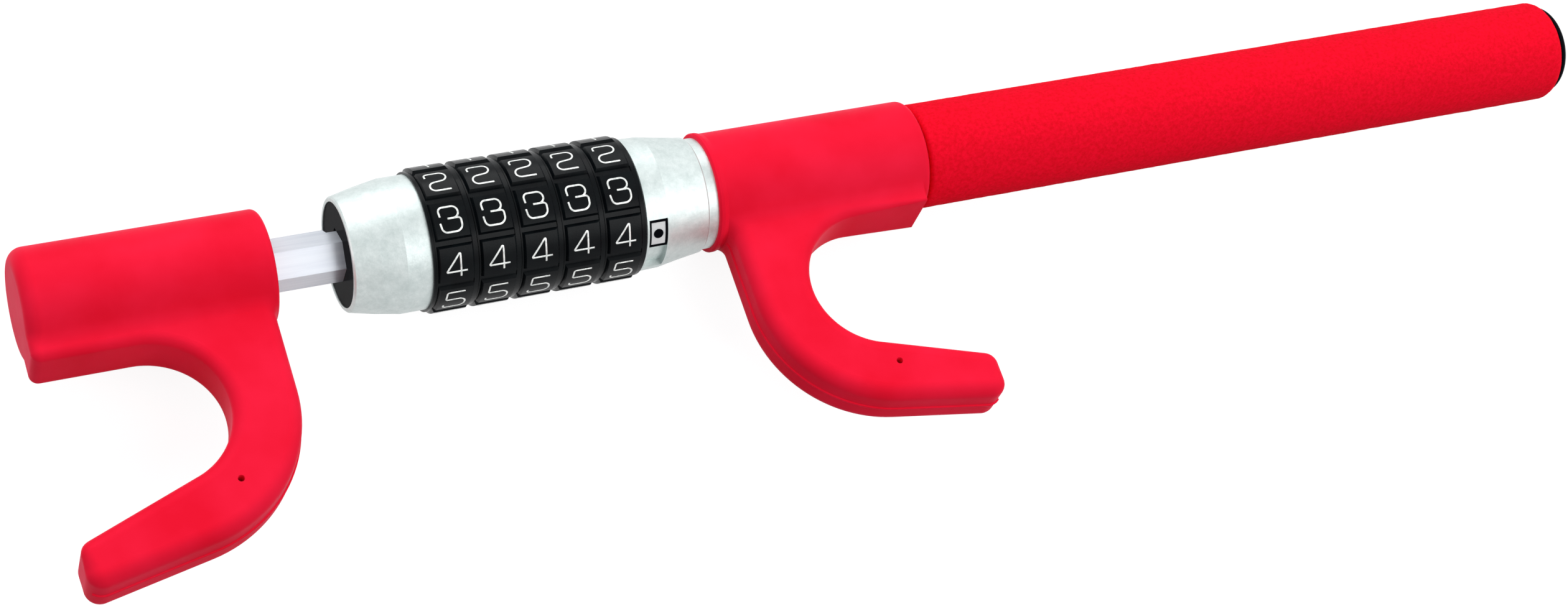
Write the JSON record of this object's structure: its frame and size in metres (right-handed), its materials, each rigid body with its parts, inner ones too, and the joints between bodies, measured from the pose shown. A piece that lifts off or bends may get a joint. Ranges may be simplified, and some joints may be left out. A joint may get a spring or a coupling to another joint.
{
  "type": "steering wheel lock",
  "caption": "Telescopic twin-hook steering-wheel lock with combination dials, a hexagonal sliding shaft, moulded hooks and a foam handle.",
  "frame": {"origin": "centre of the rear hook's throat, half way through its thickness", "axes": "+X along the shaft toward the foam handle, +Y from the throat up to the shaft, +Z square to the plane of the hooks"},
  "size_m": [0.568, 0.1221, 0.0476],
  "materials": {
    "red_moulding": "semi-gloss soft PVC moulding",
    "red_foam": "matte closed-cell foam with a fine grain",
    "satin_metal": "bead-blasted satin metal",
    "bright_zinc": "bright zinc-plated steel",
    "black_gloss": "glossy black moulded plastic",
    "dial_black": "soft black moulded plastic",
    "plain_steel": "plain mild steel",
    "ring_brass": "turned brass",
    "spring_steel": "drawn spring wire",
    "index_white": "white index plate"
  },
  "bodies": {
    "lock_body": {"front_collar": "satin_metal", "shaft_guide_bush": "black_gloss", "core_tube": "plain_steel", "rear_collar": "satin_metal", "neck_ring": "satin_metal", "rear_hook_cover": "red_moulding", "rear_hook_core": "plain_steel", "handle_tube": "plain_steel", "foam_grip": "red_foam", "end_cap": "black_gloss", "handle_screws": "plain_steel", "collar_pins": "plain_steel", "dial_washer": "dial_black", "detent_balls": "bright_zinc", "detent_springs": "spring_steel", "bar_spring": "spring_steel"},
    "sliding_hook": {"front_hook_cover": "red_moulding", "front_hook_core": "plain_steel", "hook_pin": "plain_steel", "lock_shaft": "bright_zinc", "tail_bush": "black_gloss", "tail_washer": "bright_zinc", "tail_screw": "bright_zinc"},
    "dial_unit_1": {"dial_1": "dial_black", "code_ring_1": "ring_brass"},
    "dial_unit_2": {"dial_2": "dial_black", "code_ring_2": "ring_brass"},
    "dial_unit_3": {"dial_3": "dial_black", "code_ring_3": "ring_brass"},
    "dial_unit_4": {"dial_4": "dial_black", "code_ring_4": "ring_brass"},
    "dial_unit_5": {"dial_5": "dial_black", "code_ring_5": "ring_brass"},
    "bar_unit": {"lock_bar": "plain_steel"},
    "dog_unit": {"lock_dog": "plain_steel"},
    "index_unit": {"index_slider": "black_gloss", "index_plate": "index_white", "index_dot": "black_gloss"}
  },
  "joints": [
    {"name": "shaft_slide", "type": "slide", "parent": "lock_body", "child": "sliding_hook", "axis": [-1, 0, 0], "range_m": [-0.02, 0.16]},
    {"name": "dial_1_spin", "type": "hinge", "parent": "lock_body", "child": "dial_unit_1", "pos_m": [-0.13955, 0.0455, 0], "axis": [1, 0, 0], "continuous": true},
    {"name": "dial_2_spin", "type": "hinge", "parent": "lock_body", "child": "dial_unit_2", "pos_m": [-0.12525, 0.0455, 0], "axis": [1, 0, 0], "continuous": true},
    {"name": "dial_3_spin", "type": "hinge", "parent": "lock_body", "child": "dial_unit_3", "pos_m": [-0.11095, 0.0455, 0], "axis": [1, 0, 0], "continuous": true},
    {"name": "dial_4_spin", "type": "hinge", "parent": "lock_body", "child": "dial_unit_4", "pos_m": [-0.09665, 0.0455, 0], "axis": [1, 0, 0], "continuous": true},
    {"name": "dial_5_spin", "type": "hinge", "parent": "lock_body", "child": "dial_unit_5", "pos_m": [-0.08235, 0.0455, 0], "axis": [1, 0, 0], "continuous": true},
    {"name": "lock_bar_slide", "type": "slide", "parent": "lock_body", "child": "bar_unit", "axis": [1, 0, 0], "range_m": [0, 0.0065], "deforming": ["bar_spring"]},
    {"name": "lock_dog_slide", "type": "slide", "parent": "lock_body", "child": "dog_unit", "axis": [0, -1, 0], "range_m": [0, 0.00162]},
    {"name": "index_slide", "type": "hinge", "parent": "lock_body", "child": "index_unit", "pos_m": [-0.07075, 0.0455, 0], "axis": [1, 0, 0], "range_deg": [0, 30]}
  ],
  "couplings": [
    {"joint": "lock_dog_slide", "follows": "lock_bar_slide", "ratio": 0.25}
  ]
}
